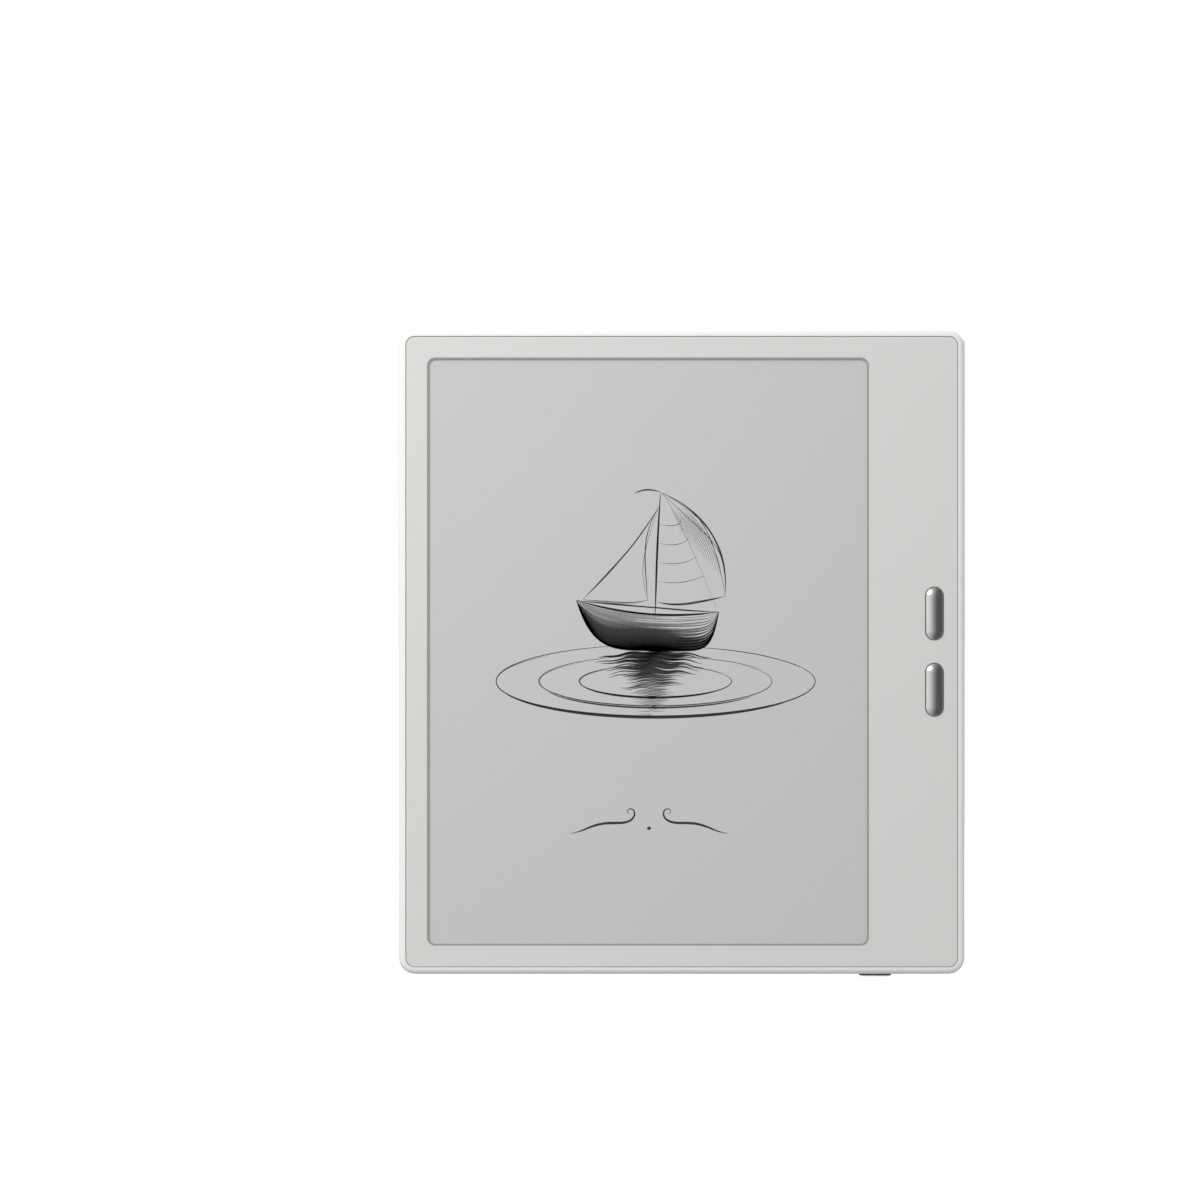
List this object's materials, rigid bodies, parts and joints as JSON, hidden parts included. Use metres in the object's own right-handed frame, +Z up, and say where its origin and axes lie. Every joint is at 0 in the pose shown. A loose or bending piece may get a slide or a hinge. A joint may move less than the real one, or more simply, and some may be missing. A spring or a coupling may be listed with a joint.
{
  "type": "e-reader",
  "caption": "Slim handheld e-reader: matt screen in a grey bezel, wide grip with page keys, power key, card tray, charging port and leather-grained back.",
  "frame": {"origin": "centre of the flat back face, halfway between the long edges and the short edges", "axes": "+X points to the grip edge with the ports, +Y points out of the back, +Z points up along the long side, so the screen faces -Y"},
  "size_m": [0.137, 0.0069, 0.1565],
  "materials": {
    "shell_white": "fine matt moulded",
    "panel_leather": "white embossed leather grain",
    "adhesive": "thin adhesive",
    "frame_metal": "pressed sheet",
    "steel": "bright pressed steel",
    "bezel_grey": "fine matt warm grey",
    "gasket_grey": "closed foam",
    "screen_film": "anti-glare film",
    "light_guide": "clear moulded light guide",
    "ink_film": "electronic paper",
    "panel_glass": "thin glass with circuits",
    "led_strip": "white diodes on a strip",
    "flex_amber": "polyimide flat cable",
    "battery_foil": "foil pouch",
    "board_green": "solder mask",
    "chip_black": "moulded chip",
    "connector_ivory": "moulded connector",
    "graphite": "graphite sheet",
    "contact_gold": "gold plated",
    "magnet": "nickel plated",
    "speaker_black": "moulded box",
    "mesh_black": "woven acoustic mesh",
    "key_metal": "satin grey metal",
    "power_metal": "dark anodised metal"
  },
  "bodies": {
    "reader": {"rear_shell": "shell_white", "grip_inlay": "panel_leather", "main_inlay": "panel_leather", "grip_inlay_tape": "adhesive", "main_inlay_tape": "adhesive", "mid_frame": "frame_metal", "frame_screws": "steel", "front_bezel": "bezel_grey", "bezel_tape": "adhesive", "window_gasket": "gasket_grey", "touch_film": "screen_film", "light_guide": "light_guide", "light_strip": "led_strip", "epaper_film": "ink_film", "glass_backplane": "panel_glass", "display_tape": "adhesive", "display_flex": "flex_amber", "touch_flex": "flex_amber", "battery_cell": "battery_foil", "battery_board": "board_green", "battery_tape": "adhesive", "battery_lead": "flex_amber", "battery_plug": "connector_ivory", "mainboard": "board_green", "processor": "chip_black", "memory_chips": "chip_black", "power_chip": "chip_black", "radio_chip": "chip_black", "processor_shield": "steel", "radio_shield": "steel", "graphite_sheet": "graphite", "hall_sensor": "chip_black", "flex_connectors": "connector_ivory", "wifi_antenna": "contact_gold", "antenna_lead": "contact_gold", "cover_magnets": "magnet", "usb_shell": "steel", "usb_tongue": "chip_black", "card_socket": "steel", "card_contacts": "contact_gold", "lever_pin": "steel", "upper_speaker": "speaker_black", "lower_speaker": "speaker_black", "speaker_gaskets": "gasket_grey", "speaker_meshes": "mesh_black", "key_board": "board_green", "key_flex": "flex_amber", "page_switches": "steel", "power_switch": "steel"},
    "page_forward": {"page_forward_key": "key_metal", "page_forward_plunger": "chip_black"},
    "page_back": {"page_back_key": "key_metal", "page_back_plunger": "chip_black"},
    "power": {"power_key": "power_metal", "power_plunger": "chip_black"},
    "tray": {"card_tray": "shell_white"},
    "rod": {"eject_rod": "steel"},
    "lever": {"eject_lever": "steel"}
  },
  "joints": [
    {"name": "page_forward_press", "type": "slide", "parent": "reader", "child": "page_forward", "axis": [0, 1, 0], "range_m": [0, 0.00035], "stiffness_N_per_m": 4500},
    {"name": "page_back_press", "type": "slide", "parent": "reader", "child": "page_back", "axis": [0, 1, 0], "range_m": [0, 0.00035], "stiffness_N_per_m": 4500},
    {"name": "power_press", "type": "slide", "parent": "reader", "child": "power", "axis": [0, 0, 1], "range_m": [0, 0.0003], "stiffness_N_per_m": 5000},
    {"name": "tray_slide", "type": "slide", "parent": "reader", "child": "tray", "axis": [1, 0, 0], "range_m": [0, 0.018]},
    {"name": "eject_push", "type": "slide", "parent": "reader", "child": "rod", "axis": [-1, 0, 0], "range_m": [0, 0.001]},
    {"name": "eject_turn", "type": "hinge", "parent": "reader", "child": "lever", "pos_m": [0.0463, -0.0031, 0.03029], "axis": [0, -1, 0], "range_deg": [0, 14.5]}
  ],
  "couplings": [
    {"joint": "eject_turn", "follows": "eject_push", "rad_per_m": 244.35}
  ]
}
